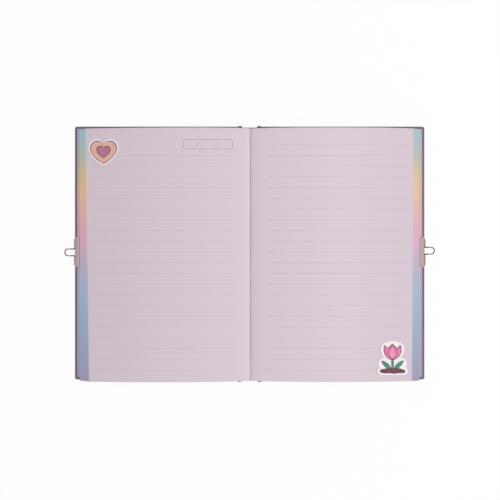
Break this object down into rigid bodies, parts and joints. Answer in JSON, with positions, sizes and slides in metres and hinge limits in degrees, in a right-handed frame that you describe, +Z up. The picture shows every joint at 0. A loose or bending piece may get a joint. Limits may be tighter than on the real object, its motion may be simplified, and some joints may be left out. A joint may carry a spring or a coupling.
{
  "type": "secret diary",
  "caption": "Hardcover diary lying open in the middle, with ruled lilac pages, rainbow fore edges and a wire loop on each cover for a small padlock.",
  "frame": {"origin": "middle of the open diary's footprint, on the surface that it lies on", "axes": "+X from the front cover to the back cover across both pages, +Y from the tail to the head of the page, +Z up, away from the table"},
  "size_m": [0.2776, 0.19, 0.0099],
  "materials": {
    "covering": "satin laminated, mauve",
    "joint_cloth": "satin laminated, mauve",
    "board": "raw grey board",
    "endpaper": "matte, rainbow tint",
    "page": "matte, lilac, rainbow at the fore edge",
    "lining_paper": "matte",
    "mull": "open weave cotton",
    "lock_metal": "satin, champagne plated",
    "wire": "polished nickel",
    "heart_sticker": "gloss coated",
    "flower_sticker": "gloss coated"
  },
  "bodies": {
    "spine": {"spine_board": "board", "spine_covering": "covering", "spine_lining": "lining_paper", "front_joint": "joint_cloth", "back_joint": "joint_cloth", "spine_mull": "mull"},
    "front_cover": {"front_board": "board", "front_covering": "covering", "front_pastedown": "endpaper", "front_lock_plate": "lock_metal"},
    "front_loop": {"front_lock_loop": "wire"},
    "back_cover": {"back_board": "board", "back_covering": "covering", "back_pastedown": "endpaper", "back_lock_plate": "lock_metal"},
    "back_loop": {"back_lock_loop": "wire"},
    "section_01": {"section_01": "page", "front_flyleaf": "endpaper"},
    "section_02": {"section_02": "page"},
    "section_03": {"section_03": "page"},
    "section_04": {"section_04": "page"},
    "section_05": {"section_05": "page", "heart_sticker": "heart_sticker"},
    "section_06": {"section_06": "page"},
    "section_07": {"section_07": "page"},
    "section_08": {"section_08": "page"},
    "section_09": {"section_09": "page"},
    "section_10": {"section_10": "page", "back_flyleaf": "endpaper"},
    "leaf": {"turning_leaf": "page", "flower_sticker": "flower_sticker"}
  },
  "joints": [
    {"name": "front_cover_hinge", "type": "hinge", "parent": "spine", "child": "front_cover", "pos_m": [-0.0083, 0, 0.00185], "axis": [0, 1, 0], "range_deg": [0, 90], "deforming": ["spine_mull"]},
    {"name": "front_loop_swing", "type": "hinge", "parent": "front_cover", "child": "front_loop", "pos_m": [-0.13037, 0, 0.00162], "axis": [0, 1, 0], "range_deg": [0, 65]},
    {"name": "back_cover_hinge", "type": "hinge", "parent": "spine", "child": "back_cover", "pos_m": [0.0083, 0, 0.00185], "axis": [0, -1, 0], "range_deg": [0, 90], "deforming": ["spine_mull"]},
    {"name": "back_loop_swing", "type": "hinge", "parent": "back_cover", "child": "back_loop", "pos_m": [0.13037, 0, 0.00162], "axis": [0, -1, 0], "range_deg": [0, 65]},
    {"name": "section_01_turn", "type": "hinge", "parent": "spine", "child": "section_01", "pos_m": [-0.00724, 0, 0.00291], "axis": [0, 1, 0], "range_deg": [0, 90]},
    {"name": "section_02_turn", "type": "hinge", "parent": "spine", "child": "section_02", "pos_m": [-0.00641, 0, 0.00374], "axis": [0, 1, 0], "range_deg": [0, 90]},
    {"name": "section_03_turn", "type": "hinge", "parent": "spine", "child": "section_03", "pos_m": [-0.00558, 0, 0.00457], "axis": [0, 1, 0], "range_deg": [0, 90]},
    {"name": "section_04_turn", "type": "hinge", "parent": "spine", "child": "section_04", "pos_m": [-0.00475, 0, 0.0054], "axis": [0, 1, 0], "range_deg": [0, 90]},
    {"name": "section_05_turn", "type": "hinge", "parent": "spine", "child": "section_05", "pos_m": [-0.00373, 0, 0.00643], "axis": [0, 1, 0], "range_deg": [0, 90]},
    {"name": "section_06_turn", "type": "hinge", "parent": "spine", "child": "section_06", "pos_m": [0.00373, 0, 0.00643], "axis": [0, -1, 0], "range_deg": [0, 90]},
    {"name": "section_07_turn", "type": "hinge", "parent": "spine", "child": "section_07", "pos_m": [0.00475, 0, 0.0054], "axis": [0, -1, 0], "range_deg": [0, 90]},
    {"name": "section_08_turn", "type": "hinge", "parent": "spine", "child": "section_08", "pos_m": [0.00558, 0, 0.00457], "axis": [0, -1, 0], "range_deg": [0, 90]},
    {"name": "section_09_turn", "type": "hinge", "parent": "spine", "child": "section_09", "pos_m": [0.00641, 0, 0.00374], "axis": [0, -1, 0], "range_deg": [0, 90]},
    {"name": "section_10_turn", "type": "hinge", "parent": "spine", "child": "section_10", "pos_m": [0.00724, 0, 0.00291], "axis": [0, -1, 0], "range_deg": [0, 90]},
    {"name": "leaf_turn", "type": "hinge", "parent": "section_06", "child": "leaf", "pos_m": [0, 0, 0.00835], "axis": [0, 1, 0], "range_deg": [-170, 0]}
  ],
  "couplings": [
    {"joint": "section_01_turn", "follows": "front_cover_hinge", "ratio": 1},
    {"joint": "section_02_turn", "follows": "front_cover_hinge", "ratio": 1},
    {"joint": "section_03_turn", "follows": "front_cover_hinge", "ratio": 1},
    {"joint": "section_04_turn", "follows": "front_cover_hinge", "ratio": 1},
    {"joint": "section_05_turn", "follows": "front_cover_hinge", "ratio": 1},
    {"joint": "section_06_turn", "follows": "back_cover_hinge", "ratio": 1},
    {"joint": "section_07_turn", "follows": "back_cover_hinge", "ratio": 1},
    {"joint": "section_08_turn", "follows": "back_cover_hinge", "ratio": 1},
    {"joint": "section_09_turn", "follows": "back_cover_hinge", "ratio": 1},
    {"joint": "section_10_turn", "follows": "back_cover_hinge", "ratio": 1}
  ]
}
